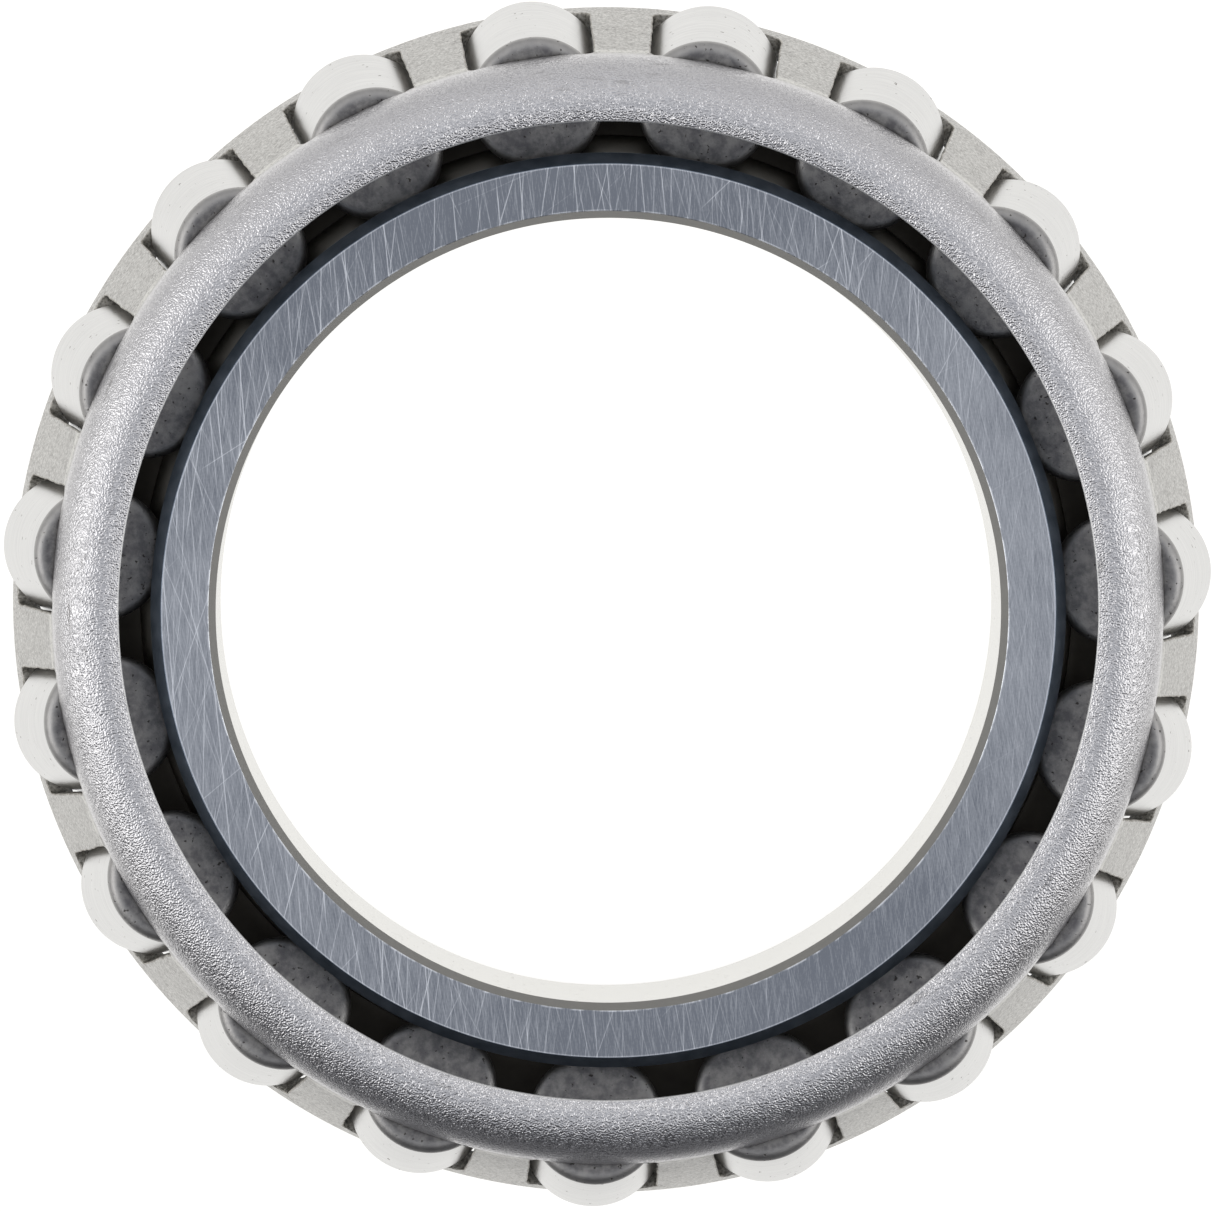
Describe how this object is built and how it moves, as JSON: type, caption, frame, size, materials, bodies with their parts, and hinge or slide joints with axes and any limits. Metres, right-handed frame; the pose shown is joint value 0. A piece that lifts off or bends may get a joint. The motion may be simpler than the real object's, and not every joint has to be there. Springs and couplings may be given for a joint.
{
  "type": "tapered roller bearing cone assembly",
  "caption": "Inner ring of a tapered roller bearing with its rollers held in a pressed-steel window cage; pressed on a shaft, it runs in a separate outer ring.",
  "frame": {"origin": "centre of the inner ring's back face, the wide face at the rollers' large ends, on which the part stands", "axes": "+Z along the bore's axis towards the front face at the rollers' small ends; the first roller lies over +X"},
  "size_m": [0.0704, 0.0706, 0.0202],
  "materials": {
    "ring_steel": "hardened bearing steel, ground faces with fine scratches",
    "roller_steel": "hardened bearing steel, finely ground sides, tumbled small ends",
    "cage_steel": "pressed low-carbon steel sheet, tumbled satin"
  },
  "bodies": {
    "inner_ring": {"inner_ring": "ring_steel"},
    "cage": {"cage": "cage_steel"},
    "roller_01": {"roller_01": "roller_steel"},
    "roller_02": {"roller_02": "roller_steel"},
    "roller_03": {"roller_03": "roller_steel"},
    "roller_04": {"roller_04": "roller_steel"},
    "roller_05": {"roller_05": "roller_steel"},
    "roller_06": {"roller_06": "roller_steel"},
    "roller_07": {"roller_07": "roller_steel"},
    "roller_08": {"roller_08": "roller_steel"},
    "roller_09": {"roller_09": "roller_steel"},
    "roller_10": {"roller_10": "roller_steel"},
    "roller_11": {"roller_11": "roller_steel"},
    "roller_12": {"roller_12": "roller_steel"},
    "roller_13": {"roller_13": "roller_steel"},
    "roller_14": {"roller_14": "roller_steel"},
    "roller_15": {"roller_15": "roller_steel"},
    "roller_16": {"roller_16": "roller_steel"},
    "roller_17": {"roller_17": "roller_steel"},
    "roller_18": {"roller_18": "roller_steel"},
    "roller_19": {"roller_19": "roller_steel"}
  },
  "joints": [
    {"name": "cage_spin", "type": "hinge", "parent": "inner_ring", "child": "cage", "pos_m": [0, 0, 0], "axis": [0, 0, 1], "continuous": true},
    {"name": "roller_01_spin", "type": "hinge", "parent": "cage", "child": "roller_01", "pos_m": [0.03045, 0, 0.01111], "axis": [-0.1788, 0, 0.9839], "continuous": true},
    {"name": "roller_02_spin", "type": "hinge", "parent": "cage", "child": "roller_02", "pos_m": [0.0288, 0.00989, 0.01111], "axis": [-0.1691, -0.0581, 0.9839], "continuous": true},
    {"name": "roller_03_spin", "type": "hinge", "parent": "cage", "child": "roller_03", "pos_m": [0.02403, 0.01871, 0.01111], "axis": [-0.1411, -0.1098, 0.9839], "continuous": true},
    {"name": "roller_04_spin", "type": "hinge", "parent": "cage", "child": "roller_04", "pos_m": [0.01666, 0.0255, 0.01111], "axis": [-0.0978, -0.1497, 0.9839], "continuous": true},
    {"name": "roller_05_spin", "type": "hinge", "parent": "cage", "child": "roller_05", "pos_m": [0.00748, 0.02952, 0.01111], "axis": [-0.0439, -0.1733, 0.9839], "continuous": true},
    {"name": "roller_06_spin", "type": "hinge", "parent": "cage", "child": "roller_06", "pos_m": [-0.00251, 0.03035, 0.01111], "axis": [0.0148, -0.1782, 0.9839], "continuous": true},
    {"name": "roller_07_spin", "type": "hinge", "parent": "cage", "child": "roller_07", "pos_m": [-0.01223, 0.02789, 0.01111], "axis": [0.0718, -0.1637, 0.9839], "continuous": true},
    {"name": "roller_08_spin", "type": "hinge", "parent": "cage", "child": "roller_08", "pos_m": [-0.02063, 0.02241, 0.01111], "axis": [0.1211, -0.1315, 0.9839], "continuous": true},
    {"name": "roller_09_spin", "type": "hinge", "parent": "cage", "child": "roller_09", "pos_m": [-0.02678, 0.01449, 0.01111], "axis": [0.1573, -0.0851, 0.9839], "continuous": true},
    {"name": "roller_10_spin", "type": "hinge", "parent": "cage", "child": "roller_10", "pos_m": [-0.03004, 0.00501, 0.01111], "axis": [0.1764, -0.0294, 0.9839], "continuous": true},
    {"name": "roller_11_spin", "type": "hinge", "parent": "cage", "child": "roller_11", "pos_m": [-0.03004, -0.00501, 0.01111], "axis": [0.1764, 0.0294, 0.9839], "continuous": true},
    {"name": "roller_12_spin", "type": "hinge", "parent": "cage", "child": "roller_12", "pos_m": [-0.02678, -0.01449, 0.01111], "axis": [0.1573, 0.0851, 0.9839], "continuous": true},
    {"name": "roller_13_spin", "type": "hinge", "parent": "cage", "child": "roller_13", "pos_m": [-0.02063, -0.02241, 0.01111], "axis": [0.1211, 0.1315, 0.9839], "continuous": true},
    {"name": "roller_14_spin", "type": "hinge", "parent": "cage", "child": "roller_14", "pos_m": [-0.01223, -0.02789, 0.01111], "axis": [0.0718, 0.1637, 0.9839], "continuous": true},
    {"name": "roller_15_spin", "type": "hinge", "parent": "cage", "child": "roller_15", "pos_m": [-0.00251, -0.03035, 0.01111], "axis": [0.0148, 0.1782, 0.9839], "continuous": true},
    {"name": "roller_16_spin", "type": "hinge", "parent": "cage", "child": "roller_16", "pos_m": [0.00748, -0.02952, 0.01111], "axis": [-0.0439, 0.1733, 0.9839], "continuous": true},
    {"name": "roller_17_spin", "type": "hinge", "parent": "cage", "child": "roller_17", "pos_m": [0.01666, -0.0255, 0.01111], "axis": [-0.0978, 0.1497, 0.9839], "continuous": true},
    {"name": "roller_18_spin", "type": "hinge", "parent": "cage", "child": "roller_18", "pos_m": [0.02403, -0.01871, 0.01111], "axis": [-0.1411, 0.1098, 0.9839], "continuous": true},
    {"name": "roller_19_spin", "type": "hinge", "parent": "cage", "child": "roller_19", "pos_m": [0.0288, -0.00989, 0.01111], "axis": [-0.1691, 0.0581, 0.9839], "continuous": true}
  ],
  "couplings": [
    {"joint": "roller_01_spin", "follows": "cage_spin", "ratio": 6.66},
    {"joint": "roller_02_spin", "follows": "cage_spin", "ratio": 6.66},
    {"joint": "roller_03_spin", "follows": "cage_spin", "ratio": 6.66},
    {"joint": "roller_04_spin", "follows": "cage_spin", "ratio": 6.66},
    {"joint": "roller_05_spin", "follows": "cage_spin", "ratio": 6.66},
    {"joint": "roller_06_spin", "follows": "cage_spin", "ratio": 6.66},
    {"joint": "roller_07_spin", "follows": "cage_spin", "ratio": 6.66},
    {"joint": "roller_08_spin", "follows": "cage_spin", "ratio": 6.66},
    {"joint": "roller_09_spin", "follows": "cage_spin", "ratio": 6.66},
    {"joint": "roller_10_spin", "follows": "cage_spin", "ratio": 6.66},
    {"joint": "roller_11_spin", "follows": "cage_spin", "ratio": 6.66},
    {"joint": "roller_12_spin", "follows": "cage_spin", "ratio": 6.66},
    {"joint": "roller_13_spin", "follows": "cage_spin", "ratio": 6.66},
    {"joint": "roller_14_spin", "follows": "cage_spin", "ratio": 6.66},
    {"joint": "roller_15_spin", "follows": "cage_spin", "ratio": 6.66},
    {"joint": "roller_16_spin", "follows": "cage_spin", "ratio": 6.66},
    {"joint": "roller_17_spin", "follows": "cage_spin", "ratio": 6.66},
    {"joint": "roller_18_spin", "follows": "cage_spin", "ratio": 6.66},
    {"joint": "roller_19_spin", "follows": "cage_spin", "ratio": 6.66}
  ]
}
